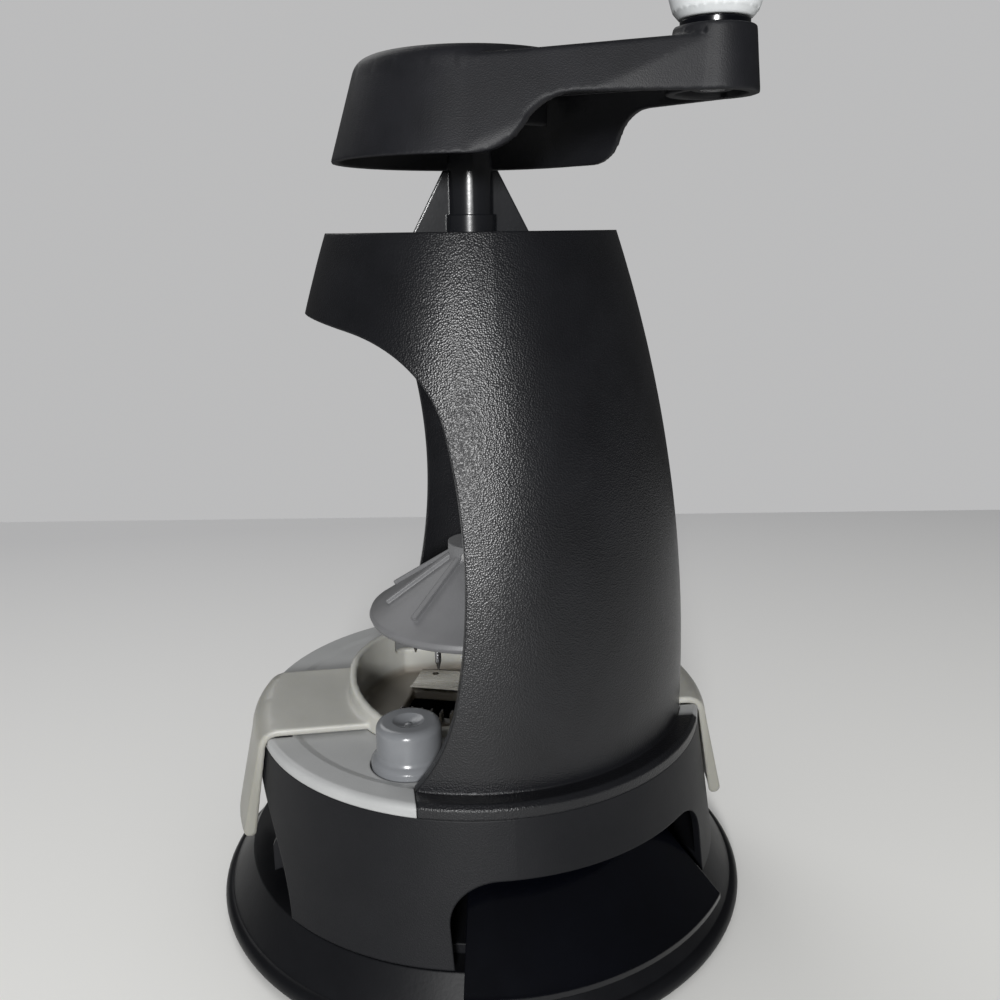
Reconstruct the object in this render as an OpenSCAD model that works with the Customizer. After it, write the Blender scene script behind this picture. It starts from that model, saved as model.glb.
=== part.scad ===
// Hand cranked vertical spiralizer on a suction base.
// The origin is on the worktop under the crank's axis, +Z is up and the loading mouth faces -Y.

/* [Base] */
// Radius of the rubber suction disc
disc_r = 81.4; // [79:0.2:86]
// Radius of the rolled rim of the disc
disc_roll = 3; // [2:0.1:3.4]
// Height of the disc's flat top
disc_h = 16.5; // [15:0.5:19]
// Height of the suction chamber under the disc
chamber_h = 8; // [5:0.5:8.5]
// Height of the top edge of the base skirt
base_h = 57; // [54:0.5:62]
// Radius of the base skirt at its top
skirt_top_r = 67; // [66:0.2:70]
// Radius of the base skirt at its foot
skirt_foot_r = 72.7; // [71.5:0.1:75]
// Wall of the base skirt
skirt_wall = 2.5; // [2:0.1:3]
// Thickness of the floor of the base core
core_t = 3; // [2.5:0.1:4]

/* [Top plate] */
// Thickness of the plate that the blade insert lies on
plate_t = 6; // [4.6:0.1:6.2]
// Height of the plate's outer rim above the skirt
rim_h = 3.4; // [2.4:0.1:4]

/* [Tower] */
// Radius of the tower at its foot
tower_r = 61.5; // [60.5:0.1:62.5]
// Radius of the tower at its top rim
tower_top_r = 40; // [38:0.5:44]
// Height of the tower above the base skirt
tower_h = 142; // [136:1:152]
// Straight height at the foot of the tower
tower_straight = 13; // [8:1:20]
// Wall of the tower shell
tower_wall = 2.5; // [2:0.1:3]
// Height of the collar round the foot of the tower
collar_h = 4; // [3:0.2:6]
// Distance from the axis to the deepest point of the mouth
mouth_front = 10; // [8:0.5:14]
// Height of that point above the base skirt
mouth_mid_h = 61; // [56:1:66]
// Radius of the long middle arc of the mouth
mouth_r = 170; // [140:5:220]
// Radius of the arc at the top of the mouth
mouth_top_r = 30; // [25:1:33]
// Radius of the arc at the foot of the mouth
mouth_foot_r = 55; // [48:1:60]

/* [Bearing] */
// Diameter of the steel shaft
shaft_d = 7; // [6:0.1:7.2]
// Depth of the flat along the shaft
shaft_flat = 0.8; // [0.5:0.1:1.2]
// Wall of the sleeve that turns with the shaft
sleeve_wall = 1.2; // [1:0.05:1.25]
// Outer diameter of the boss that stands on the tower
boss_d = 12.3; // [12.2:0.1:14]
// Height of the boss above the tower's rim
boss_h = 27; // [24:0.5:28]

/* [Crank] */
// Height of the crank's lower edge above the tower's rim
crank_gap = 18; // [12:0.5:20]
// Radius of the crank's hub at its lower edge
hub_r = 37.5; // [34:0.5:42]
// Radius of the hub at its shoulder
hub_top_r = 30; // [27:0.5:33]
// Height of the hub up to its shoulder
hub_h = 24.5; // [22:0.5:28]
// Rise of the domed top above the shoulder
dome_h = 3; // [2:0.1:5]
// Wall of the hollow crank
crank_wall = 2.4; // [2:0.1:3]
// Distance from the axis to the knob
arm_l = 65.5; // [58:0.5:72]
// Direction of the arm, counted from +X
arm_angle = 58; // [0:1:359]
// Depth of the arm at its outer end
arm_depth = 15; // [13:0.5:17]
// Largest diameter of the knob
knob_d = 27; // [25:0.5:30]
// Length of the knob
knob_l = 38; // [34:0.5:44]

/* [Food holder] */
// Radius of the food holder's rim
holder_r = 33; // [29:0.2:33.6]
// Height of the holder's rim above the base skirt
holder_gap = 29.7; // [28:0.1:33]
// Number of ribs on the cone
rib_count = 10; // [6:1:12]
// Length of the spikes under the holder
spike_l = 12; // [8:0.5:12.5]

/* [Blade insert] */
// Width of the insert's ribbon and tongues
ribbon_w = 40; // [30:1:40]
// Thickness of the ribbon
ribbon_t = 2; // [1.5:0.1:2.4]
// Outer radius of the insert's cup
ring_r = 40; // [36:0.5:40.5]
// Distance from the axis to the cup's flat side next to the button
cup_near = 27.6; // [24:0.2:27.6]
// Distance from the axis to the cup's other flat side
cup_far = 33.2; // [28:0.2:34]
// Depth of the cup's floor below the top of the ribbon
cup_depth = 8.4; // [6:0.2:9]
// Height of the cup's curved walls above the plate
ring_h = 10; // [7:0.2:11]
// Height of the lower end of the tongues
tongue_z = 29; // [26:0.5:34]

/* [Button and lever] */
// Diameter of the release button's cap
button_d = 17.7; // [15:0.1:18.5]
// Height of the button above the plate
button_h = 12.4; // [9:0.2:14]
// Travel of the button
button_travel = 3; // [2:0.2:3.6]
// Direction of the suction lever, counted from +X
lever_angle = 21; // [15:1:24]
// Half of the angle that the lever's paddle covers
lever_half = 32; // [26:1:32]
// Distance from the disc's rim in to the edge of the lever's paddle
lever_inset = 2.4; // [1.4:0.2:5]
// Diameter of the lever's hinge pin
pin_d = 4; // [3.4:0.1:4.6]
// Lowering of the suction stem when the lever is opened
stem_drop = 3; // [2:0.2:3]

/* [Hidden] */
$fn = 96;

// Clearances
fit = 0.02;
run = 0.05;
gap = 0.3;
eps = 0.01;
big = 400;

// Sloping top of the suction disc
disc_top_r = skirt_foot_r - 0.7;
disc_slope_r = disc_r - disc_roll + 0.4;

// Screws
screw_d = 3;
screw_head_d = 5.6;
screw_head_h = 2;
screw_hole_d = screw_d + 0.4;

// Heights of the base
skirt_foot_z = disc_h + 1;
core_top = disc_h + core_t;
flange_t = 3;
flange_z = base_h - flange_t;
plate_z = flange_z;
plate_top = plate_z + plate_t;
rim_top = base_h + rim_h;
rim_w = 7.4;
rim_round = 1.6;
pad_w = 28;
pad_l = 6;

// Tower profile
rim_z = base_h + tower_h;
tower_bend_z = base_h + tower_straight;
bend_h = tower_h - tower_straight;
bend_in = tower_r - tower_top_r;
tower_steps = 43;
tower_arc = (bend_h * bend_h + bend_in * bend_in) / (2 * bend_in);
collar_r = skirt_top_r;
flange_in_r = tower_r - tower_wall - 0.1;
plate_r = flange_in_r - gap;
slot_half = ribbon_w / 2 + 1;
slot_top = rim_top + 8;
rear_half = ribbon_w / 2 + 8;
foot_screw_r = tower_r - tower_wall - 3.6;
foot_screw_angles = [0, 45, 135, 180];
foot_boss_d = 8;
foot_boss_h = 12;
collar_bevel = 1.2;

// Mouth of the tower, in the plane of its side view: first value towards the front, second upwards
mouth_blend = 11.6;
mouth_lip = 14;
mouth_c = [mouth_front + mouth_r, base_h + mouth_mid_h];
mouth_u = mouth_c + (mouth_r - mouth_top_r) * [-cos(mouth_blend), sin(mouth_blend)];
mouth_l = mouth_c + (mouth_r - mouth_foot_r) * [-cos(mouth_blend), -sin(mouth_blend)];
foot_turn = asin((mouth_l[1] - base_h - collar_h) / mouth_foot_r);
mouth_lip_p = mouth_u + mouth_top_r * [-sin(mouth_lip), cos(mouth_lip)];

// Bearing on top of the tower
ledge_t = 4;
ledge_in_r = tower_top_r - 9;
bridge_t = 4;
bridge_top = rim_z - 2;
bridge_z = bridge_top - bridge_t;
bridge_r = tower_top_r - tower_wall - 0.4;
ledge_out_r = tower_at(bridge_z) - tower_wall / 2;
sleeve_d = shaft_d + 2 * run + 2 * sleeve_wall;
boss_bore = sleeve_d + 2 * run;
boss_top = rim_z + boss_h;
boss_low = bridge_z - 10;
boss_low_d = boss_d + 3;
bridge_screw_r = ledge_in_r + 3.2;

// Crank
crank_z = rim_z + crank_gap;
hub_lean = atan2(hub_r - hub_top_r, hub_h);
shoulder_r = 5;
shoulder_z = hub_h - 2.2;
shoulder_p = [hub_r - shoulder_z * tan(hub_lean), shoulder_z];
shoulder_c = shoulder_p - shoulder_r * [cos(hub_lean), sin(hub_lean)];
dome_lean = 80;
dome_p = shoulder_c + shoulder_r * [cos(dome_lean), sin(dome_lean)];
dome_rise = hub_h + dome_h - dome_p[1];
dome_arc = (dome_p[0] * dome_p[0] + dome_rise * dome_rise) / (2 * dome_rise);
arm_top = hub_h + 1.5;
arm_end_h = arm_top + 2.5;
arm_low = arm_end_h - arm_depth;
arm_end_r = 11.4;
arm_end_top_r = 10;
swoop_u = 21;
swoop_l = 20;
swoop_skew = 9;
swoop_r = (swoop_l * swoop_l + arm_low * arm_low) / (4 * arm_low);
hub_in_d = 18;
sleeve_flange_t = 1.4;
sleeve_flange_d = 15;
hub_in_z = boss_top + sleeve_flange_t + gap - crank_z;
roof_t = 2.4;
spindle_d = 6;
spindle_head_d = 11;
spacer_h = 1.5;
spacer_r = 8.4;
knob_z = crank_z + arm_end_h + spacer_h + gap;
knob_foot_r = 9.6;
knob_waist = knob_l * 0.55;
knob_bulge = knob_d / 2 - knob_foot_r;
knob_flank_r = (knob_waist * knob_waist + knob_bulge * knob_bulge) / (2 * knob_bulge);
knob_sink = 5;
crank_pin_d = 3;
crank_pin_z = crank_z + hub_in_z + 7;
shaft_top = crank_z + hub_h - roof_t - 1;

// Food holder
holder_z = base_h + holder_gap;
holder_rim_t = 2.4;
rib_w = 1.8;
rib_h = 1.3;
holder_wall = 1.8;
cone_h = 18;
cone_top_r = 8.7;
holder_hub_h = cone_h + 4.8;
cone_slope = (cone_h - holder_rim_t) / (holder_r - 0.5 - cone_top_r);
cone_tilt = atan(cone_slope);
spike_d = 1.8;
spike_plate_r = 24;
spike_plate_t = 2.4;
spike_rings = [[10.5, 4], [19.5, 8]];
holder_pin_d = 3;
holder_pin_z = holder_z + cone_h + 1.6;

// Blade insert
ribbon_top = rim_top + ribbon_t;
bed_t = 3;
bed_top = ribbon_top - cup_depth;
bed_z = bed_top - bed_t;
ring_top = plate_top + ring_h;
ring_wall = 2.2;
tall_far = cup_far - 4.2;
dip = 5;
dip_x = 10;
window_x = 9;
window_y = 24;
bar_w = 5;
blade_turn = -20;
core_d = 8;
core_wall = 0.5;
tongue_bend = 6;
tongue_y = skirt_top_r + 0.5;
skirt_slope = (skirt_foot_r - skirt_top_r) / (base_h - skirt_foot_z);
tongue_low_y = tongue_y + (base_h - tongue_z) * skirt_slope;
bulb_r = 1.8;
notch_half = ribbon_w / 2 + 0.6;
tooth_count = 6;
tooth_t = 0.5;
comb_h = 1;
tooth_h = 3;

// Release button
button_p = [39.5, -24.3];
button_collar_d = button_d + 3.2;
button_collar_h = 4;
well_d = button_collar_d + 0.7;
well_wall = 1.2;
well_floor_t = 2;
button_top = plate_top + button_h;
button_collar_top = plate_top + 2.4;
button_collar_z = button_collar_top - button_collar_h;
cap_round = 2;
button_stem_d = 6;
button_clip_t = 1;
button_clip_d = 9.4;
spring_wire = 1;
spring_turns = 4;
spring_spare = 2.4;
well_floor_z = button_collar_z - button_travel - (spring_turns + 1) * spring_wire - spring_spare;
well_depth = plate_top - well_floor_z;
button_clip_z = well_floor_z - well_floor_t - button_clip_t - 0.2;

// Suction lever, drawn with its middle along +X and then turned to its direction
hinge_u = 46;
hinge_z = core_top + 8.5;
lever_r = disc_r - lever_inset;
lever_in_r = 54;
paddle_t = 2.4;
paddle_in_z = disc_h + 20.5;
paddle_foot_l = 2;
paddle_clear = 3.2;
paddle_out_z = disc_at(lever_r - paddle_foot_l) + paddle_clear + paddle_t;
lever_hub_r = 5;
lever_hub_w = 15;
lever_arm_w = 5;
lever_arm_y = 9;
lobe_r = 2;
lobe_p = [-7, 2.7];
lug_t = 4;
lug_y = lever_hub_w + 1;
lug_w = 12;
lug_h = 13;
stem_d = 9;
stem_flange_r = 8.8;
stem_flange_t = 3;
stem_flange_z = disc_h - 4 + stem_drop + 0.2;
pocket_r = stem_flange_r + 0.5;
guide_d = 16;
guide_h = 10;
yoke_z = hinge_z + lobe_p[1] + lobe_r + gap;
yoke_t = 3;
yoke_w = 16;
yoke_l = hinge_u - 7;
cut_half = lever_half + 2;
cut_top = base_h - 16;
cut_corner = 12;
front_arch_r = 45;
front_top = base_h - 7;
ledge_w = 9;

// Posts between the base core and the top plate
post_r = 54;
post_angles = [-56, -124, 68, 112];
post_d = 9;
knee_y = 10;
contact_in_r = 64;

// A screw with its head at z = 0 and its shank upwards
module screw(shank) {
    translate([0, 0, -screw_head_h]) cylinder(d = screw_head_d, h = screw_head_h);
    translate([0, 0, -eps]) cylinder(d = screw_d, h = shank + eps);
}

// Copies on a circle, at each of the given angles
module at_angles(r, angles) {
    for (a = angles) rotate(a) translate([r, 0, 0]) children();
}

// Outer radius of the tower at a height above its straight foot
function tower_at(z) = tower_r - tower_arc + sqrt(tower_arc * tower_arc - pow(z - tower_bend_z, 2));

// Height of the suction disc's sloping top at a distance from the axis
function disc_at(r) = disc_h + (2 * disc_roll - disc_h) * (r - disc_top_r) / (disc_slope_r - disc_top_r);

// Half section of the tower's wall
module tower_profile() {
    heights = [for (i = [0:tower_steps]) tower_bend_z + bend_h * i / tower_steps];
    polygon(concat(
        [[tower_r, base_h]],
        [for (z = heights) [tower_at(z), z]],
        [for (i = [tower_steps:-1:0]) [tower_at(heights[i]) - tower_wall, heights[i]]],
        [[tower_r - tower_wall, base_h]]
    ));
}

// Points along an arc
function arc(centre, r, from, to, steps) =
    [for (i = [0:steps]) let (a = from + (to - from) * i / steps) centre + r * [cos(a), sin(a)]];

// Region of the tower's side view that the mouth takes away
module mouth_profile() {
    front = 2 * tower_r;
    polygon(concat(
        arc(mouth_u, mouth_top_r, 90 + mouth_lip, 180 - mouth_blend, 24),
        arc(mouth_c, mouth_r, 180 - mouth_blend, 180 + mouth_blend, 30),
        arc(mouth_l, mouth_foot_r, 180 + mouth_blend, 180 + foot_turn, 36),
        [[mouth_l[0] - mouth_foot_r * cos(foot_turn), base_h - 1], [mouth_l[0] + front, base_h - 1]],
        [mouth_lip_p + front * [1, tan(mouth_lip)]]
    ));
}

// The mouth as a solid that runs across the tower, moved forwards by the given distance
module mouth_solid(forward) {
    translate([-tower_r * 1.5, -forward, 0]) rotate([90, 0, 90])
        mirror([1, 0, 0]) linear_extrude(tower_r * 3) mouth_profile();
}

// Outline of the crank with its walls drawn in by the given distance
module crank_hull(inset, top) {
    hull() {
        cylinder(r1 = hub_r - inset, r2 = shoulder_p[0] - inset, h = shoulder_z - top);
        translate([arm_l, 0, 0])
            cylinder(r1 = arm_end_r + 0.7 - inset, r2 = arm_end_top_r - inset, h = arm_top - top);
    }
}

// Region under the arm's curved lower edge, in the plane of the arm
module swoop_profile() {
    turn = atan2(arm_low / 2 - swoop_r, swoop_l / 2);
    polygon(concat(
        [[swoop_u, -arm_low]],
        arc([swoop_u, swoop_r], swoop_r, -90, turn, 8),
        arc([swoop_u + swoop_l, arm_low - swoop_r], swoop_r, 180 + turn, 90, 8),
        [[2 * arm_l, arm_low], [2 * arm_l, -arm_low]]
    ));
}

module crank_arm() {
    color("#35363a") translate([0, 0, crank_z]) rotate(arm_angle) {
        difference() {
            union() {
                rotate_extrude() polygon(concat(
                    [[0, 0], [hub_r, 0]],
                    arc(shoulder_c, shoulder_r, hub_lean, dome_lean, 6),
                    arc([0, hub_h + dome_h - dome_arc], dome_arc, acos(dome_p[0] / dome_arc), 90, 8)
                ));
                crank_hull(0.2, 0, $fn = 64);
            }
            rotate(-swoop_skew) translate([0, big / 4, 0]) rotate([90, 0, 0])
                linear_extrude(big / 2) swoop_profile();
            translate([0, 0, -eps]) cylinder(
                r1 = hub_r - crank_wall, r2 = shoulder_p[0] - crank_wall, h = shoulder_z - roof_t / 2
            );
            translate([0, 0, -eps]) crank_hull(crank_wall, roof_t, $fn = 64);
            translate([arm_l, 0, -eps]) cylinder(d = spindle_d + 2 * fit, h = big / 4);
        }
        difference() {
            translate([arm_l, 0, arm_low])
                cylinder(r1 = arm_end_r, r2 = arm_end_top_r, h = arm_depth);
            translate([arm_l, 0, arm_low - eps])
                cylinder(r1 = arm_end_r - crank_wall, r2 = arm_end_top_r - crank_wall, h = arm_depth - 5);
            translate([arm_l, 0, 0]) cylinder(d = spindle_d + 2 * fit, h = big / 4);
        }
        difference() {
            union() {
                translate([0, 0, hub_in_z]) cylinder(d = hub_in_d, h = hub_h - roof_t - hub_in_z + 1);
                translate([arm_l, 0, arm_low + 1])
                    cylinder(d = spindle_d + 5, h = arm_top - arm_low - roof_t);
                for (a = [60, 180, 300]) rotate(a) translate([hub_in_d / 2 - 1, -0.8, hub_in_z])
                    cube([hub_top_r - crank_wall - hub_in_d / 2, 1.6, hub_h - roof_t - hub_in_z + 1]);
                translate([hub_in_d / 2 - 1, -0.8, arm_low + 2])
                    cube([arm_l - hub_in_d / 2 - 2, 1.6, hub_h - roof_t - arm_low - 1]);
            }
            translate([0, 0, hub_in_z - 1])
                cylinder(d = shaft_d + 2 * fit, h = shaft_top + fit - crank_z - hub_in_z + 1);
            translate([0, 0, crank_pin_z - crank_z]) rotate([90, 0, 0])
                cylinder(d = crank_pin_d + 2 * fit, h = hub_in_d + 2, center = true);
            translate([arm_l, 0, 0]) cylinder(d = spindle_d + 2 * fit, h = big / 4);
        }
    }
}

module at_knob() {
    rotate(arm_angle) translate([arm_l, 0, 0]) children();
}

module crank_knob() {
    flank_c = [knob_d / 2 - knob_flank_r, knob_waist];
    flank = arc(flank_c, knob_flank_r, -asin(knob_waist / knob_flank_r), 0, 12);
    crown = [for (a = [10:10:80]) [knob_d / 2 * cos(a), knob_waist + (knob_l - knob_waist) * sin(a)]];
    color("#d5d6d6") at_knob() translate([0, 0, knob_z]) difference() {
        rotate_extrude() polygon(concat(
            [[0, 0], [knob_foot_r - 0.9, 0]], [for (p = flank) if (p[1] > 0.8) p], crown, [[0, knob_l]]
        ));
        translate([0, 0, -eps]) cylinder(d = spindle_d + 2 * run, h = knob_l);
        translate([0, 0, knob_l - knob_sink]) cylinder(d = spindle_head_d + 2 * gap, h = knob_l);
    }
}

module knob_spindle() {
    color("silver") at_knob() {
        translate([0, 0, crank_z + arm_low + 1])
            cylinder(d = spindle_d, h = knob_z + knob_l - knob_sink + gap - crank_z - arm_low - 1);
        translate([0, 0, knob_z + knob_l - knob_sink + gap]) intersection() {
            cylinder(d = spindle_head_d, h = 3);
            translate([0, 0, -spindle_head_d + 3]) sphere(spindle_head_d);
        }
    }
}

module knob_spacer() {
    color("#202124") at_knob() translate([0, 0, crank_z + arm_end_h]) difference() {
        cylinder(r = spacer_r, h = spacer_h);
        translate([0, 0, -1]) cylinder(d = spindle_d + 2 * fit, h = spacer_h + 2);
    }
}

module crank_pin() {
    color("silver") translate([0, 0, crank_pin_z]) rotate([90, 0, arm_angle])
        cylinder(d = crank_pin_d, h = hub_in_d, center = true);
}

// The shaft's round section with its flat, larger all round by the given clearance
module shaft_section(clear) {
    intersection() {
        circle(d = shaft_d + 2 * clear);
        translate([-shaft_d, -shaft_d]) square([shaft_d * 1.5 - shaft_flat + clear, 2 * shaft_d]);
    }
}

module drive_shaft() {
    foot_z = holder_z + spike_plate_t;
    flat_z = holder_z + holder_hub_h + 1;
    flat_l = crank_z + hub_in_z - flat_z;
    color("silver") difference() {
        translate([0, 0, foot_z]) cylinder(d = shaft_d, h = shaft_top - foot_z);
        rotate(arm_angle) translate([shaft_d / 2 - shaft_flat, -shaft_d, flat_z])
            cube([shaft_d, 2 * shaft_d, flat_l]);
        translate([0, 0, crank_pin_z]) rotate([90, 0, arm_angle])
            cylinder(d = crank_pin_d + 2 * fit, h = hub_in_d, center = true);
        translate([0, 0, holder_pin_z]) rotate([90, 0, arm_angle])
            cylinder(d = holder_pin_d + 2 * fit, h = hub_in_d, center = true);
    }
}

module drive_sleeve() {
    color("ivory") difference() {
        union() {
            translate([0, 0, boss_low]) cylinder(d = sleeve_d, h = boss_top - boss_low + sleeve_flange_t);
            translate([0, 0, boss_top + run]) cylinder(d = sleeve_flange_d, h = sleeve_flange_t - run);
        }
        rotate(arm_angle) translate([0, 0, boss_low - 1])
            linear_extrude(boss_top - boss_low + sleeve_flange_t + 2) shaft_section(run);
    }
}

module bearing_bridge() {
    gusset = [[boss_d / 2 - 1, bridge_top - 1], [17, bridge_top - 1], [17, bridge_top],
        [boss_d / 2 + 1.3, rim_z + 16], [boss_d / 2 - 1, rim_z + 16]];
    color("#141517") difference() {
        union() {
            translate([0, 0, bridge_z]) cylinder(r = bridge_r, h = bridge_t);
            translate([0, 0, boss_low]) cylinder(d = boss_low_d, h = bridge_z - boss_low + 1);
            translate([0, 0, bridge_top - 1]) cylinder(d = boss_d, h = boss_top - bridge_top + 1);
            translate([0, 0, bridge_top - 1]) cylinder(d = boss_d + 1.7, h = rim_z + 4.4 - bridge_top + 1);
            for (side = [90, 270]) rotate(side) translate([0, 1.5, 0]) rotate([90, 0, 0])
                linear_extrude(3) polygon(gusset);
            for (a = [30:60:330]) rotate(a) translate([boss_low_d / 2 - 1, -0.9, bridge_z - 6])
                cube([ledge_in_r - boss_low_d / 2 - 1, 1.8, 6.5]);
        }
        translate([0, 0, boss_low - 1]) cylinder(d = boss_bore, h = boss_top - boss_low + 2);
        at_angles(bridge_screw_r, [0, 120, 240]) translate([0, 0, bridge_z - 1]) {
            cylinder(d = screw_hole_d, h = bridge_t + 2);
            translate([0, 0, bridge_t - screw_head_h + 1])
                cylinder(d = screw_head_d + 2 * gap, h = screw_head_h + 1);
        }
    }
}

module bridge_screws() {
    color("silver") at_angles(bridge_screw_r, [0, 120, 240])
        translate([0, 0, bridge_top - screw_head_h]) mirror([0, 0, 1])
            screw(bridge_t - screw_head_h + ledge_t - 0.5);
}

module tower_shell() {
    color("#26272a") difference() {
        union() {
            rotate_extrude() tower_profile();
            difference() {
                translate([0, 0, bridge_z - ledge_t]) cylinder(r = ledge_out_r, h = ledge_t);
                cylinder(r = ledge_in_r, h = big);
            }
            difference() {
                union() {
                    translate([0, 0, base_h]) cylinder(r = collar_r, h = collar_h - collar_bevel);
                    translate([0, 0, base_h + collar_h - collar_bevel])
                        cylinder(r1 = collar_r, r2 = collar_r - collar_bevel, h = collar_bevel);
                }
                cylinder(r = tower_r - tower_wall, h = big);
            }
            at_angles(foot_screw_r, foot_screw_angles) translate([0, 0, plate_top])
                cylinder(d = foot_boss_d, h = foot_boss_h);
        }
        mouth_solid(0);
        translate([-slot_half, 0, base_h - 1]) cube([2 * slot_half, 2 * tower_r, slot_top - base_h + 1]);
        difference() {
            translate([-rear_half, 0, base_h - 1]) cube([2 * rear_half, 2 * tower_r, collar_h + 2]);
            cylinder(r = tower_r, h = big);
        }
        at_angles(foot_screw_r, foot_screw_angles) translate([0, 0, plate_top - 1])
            cylinder(d = screw_d + 2 * fit, h = foot_boss_h - 1);
        at_angles(bridge_screw_r, [0, 120, 240]) translate([0, 0, bridge_z - ledge_t - 1])
            cylinder(d = screw_d + 2 * fit, h = ledge_t + 2);
    }
}

module tower_screws() {
    color("silver") at_angles(foot_screw_r, foot_screw_angles)
        translate([0, 0, plate_z]) screw(plate_t + foot_boss_h - 3);
}

// One raised rib that lies along the cone
module cone_rib() {
    rib_l = (holder_r - cone_top_r) * 0.78 / cos(cone_tilt);
    translate([cone_top_r, 0, holder_z + cone_h]) rotate([0, cone_tilt, 0])
        translate([-1, -rib_w / 2, -1]) cube([rib_l + 1, rib_w, rib_h + 1]);
}

module food_holder() {
    color("#9a9ca0") difference() {
        union() {
            rotate_extrude() difference() {
                polygon([
                    [0, holder_z], [holder_r - 0.5, holder_z], [holder_r, holder_z + holder_rim_t / 2],
                    [holder_r - 0.5, holder_z + holder_rim_t], [cone_top_r, holder_z + cone_h],
                    [cone_top_r, holder_z + holder_hub_h], [0, holder_z + holder_hub_h]
                ]);
                polygon([
                    [cone_top_r, holder_z + spike_plate_t], [spike_plate_r, holder_z + spike_plate_t],
                    [spike_plate_r, holder_z - 1], [holder_r - holder_wall - 0.6, holder_z - 1],
                    [holder_r - holder_wall - 0.6, holder_z + 0.4],
                    [cone_top_r, holder_z + cone_h - holder_wall / cos(cone_tilt) - 0.5]
                ]);
            }
            for (i = [0:rib_count - 1]) rotate(-48 + i * 360 / rib_count) cone_rib();
        }
        translate([0, 0, holder_z + spike_plate_t])
            cylinder(d = shaft_d + 2 * fit, h = holder_hub_h);
        translate([0, 0, holder_pin_z]) rotate([90, 0, arm_angle])
            cylinder(d = holder_pin_d + 2 * fit, h = 3 * cone_top_r, center = true);
        for (ring = spike_rings, i = [0:ring[1] - 1]) rotate(i * 360 / ring[1])
            translate([ring[0], 0, holder_z - 1])
                cylinder(d = spike_d + 2 * fit, h = spike_plate_t + 0.6);
    }
}

module holder_spikes() {
    tip = 2.6;
    color("silver") for (ring = spike_rings, i = [0:ring[1] - 1]) rotate(i * 360 / ring[1])
        translate([ring[0], 0, holder_z - spike_l]) {
            translate([0, 0, tip]) cylinder(d = spike_d, h = spike_l - tip + spike_plate_t - 0.5);
            cylinder(d1 = 0.4, d2 = spike_d, h = tip + eps);
        }
}

module holder_pin() {
    color("silver") translate([0, 0, holder_pin_z]) rotate([90, 0, arm_angle])
        cylinder(d = holder_pin_d, h = 2 * cone_top_r - 1, center = true);
}

// Side view of one half of the ribbon with its bent tongue: first value outwards, second upwards
module tongue_profile() {
    bend = [tongue_y + ribbon_t - tongue_bend, ribbon_top - tongue_bend];
    start = ring_r - ring_wall;
    polygon(concat(
        [[start, ribbon_top - ribbon_t]],
        arc(bend, tongue_bend - ribbon_t, 90, 0, 8),
        arc([tongue_low_y + bulb_r, tongue_z + bulb_r], bulb_r, 180, 360, 12),
        arc(bend, tongue_bend, 0, 90, 12),
        [[start, ribbon_top]]
    ));
}

// Outline of the insert's cup, drawn in by the given distance
module cup_outline(inset) {
    intersection() {
        circle(ring_r - inset);
        translate([inset - cup_far, -ring_r]) square([cup_far + cup_near - 2 * inset, 2 * ring_r]);
    }
}

module blade_insert() {
    color("#c9c8ba") difference() {
        union() {
            intersection() {
                rotate_extrude() tongue_profile();
                translate([-ribbon_w / 2, -big / 2, 0]) cube([ribbon_w, big, big]);
            }
            translate([0, 0, bed_z]) linear_extrude(ring_top - bed_z) cup_outline(0);
        }
        translate([0, 0, bed_top]) linear_extrude(big) cup_outline(ring_wall);
        translate([-cup_far - 1, -ring_r, ribbon_top])
            cube([cup_far + 1 - tall_far, 2 * ring_r, big]);
        translate([cup_near - ring_wall, -ring_r, ribbon_top]) cube([2 * ring_wall, 2 * ring_r, big]);
        translate([0, ring_r + 1, 0]) rotate([90, 0, 0]) linear_extrude(2 * ring_r + 2)
            polygon([[-dip_x, ring_top], [cup_near, ring_top - dip], [cup_near, big], [-dip_x, big]]);
        rotate(blade_turn) difference() {
            translate([-window_x, -window_y, bed_z - 1])
                cube([2 * window_x, window_y - bar_w / 2, bed_t + 2]);
            cylinder(d = core_d + 4, h = big);
        }
        translate([0, 0, bed_z - 1]) cylinder(d = core_d + 2 * fit, h = bed_t + 2);
    }
}

module slicing_blade() {
    back = window_x + 15;
    blade = [[-back, bed_top], [-window_x - 2, bed_top], [1 - window_x, bed_top + 1.6],
        [-window_x - 3, bed_top + 0.8], [-back, bed_top + 0.8]];
    color("gainsboro") rotate(blade_turn) difference() {
        translate([0, -core_d / 2 - 2.4, 0]) rotate([90, 0, 0])
            linear_extrude(window_y - core_d / 2 - 1) polygon(blade);
        for (y = [-10, -20]) translate([3 - back, y, bed_top - 1]) cylinder(d = 2.2, h = 3);
    }
}

module julienne_comb() {
    comb_w = 3;
    comb_l = window_y - bar_w / 2;
    tooth_pitch = 3.2;
    color("gainsboro") rotate(blade_turn) {
        translate([window_x + 1, -window_y, bed_top]) cube([comb_w, comb_l, comb_h]);
        for (i = [0:tooth_count - 1])
            translate([window_x + 1, 1.5 - window_y + i * tooth_pitch, bed_top + comb_h - eps])
                cube([comb_w, tooth_t, tooth_h]);
    }
}

module coring_tube() {
    color("gainsboro") translate([0, 0, bed_z]) difference() {
        cylinder(d = core_d, h = bed_t + 4);
        translate([0, 0, -1]) cylinder(d = core_d - 2 * core_wall, h = bed_t + 6);
    }
}

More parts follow.
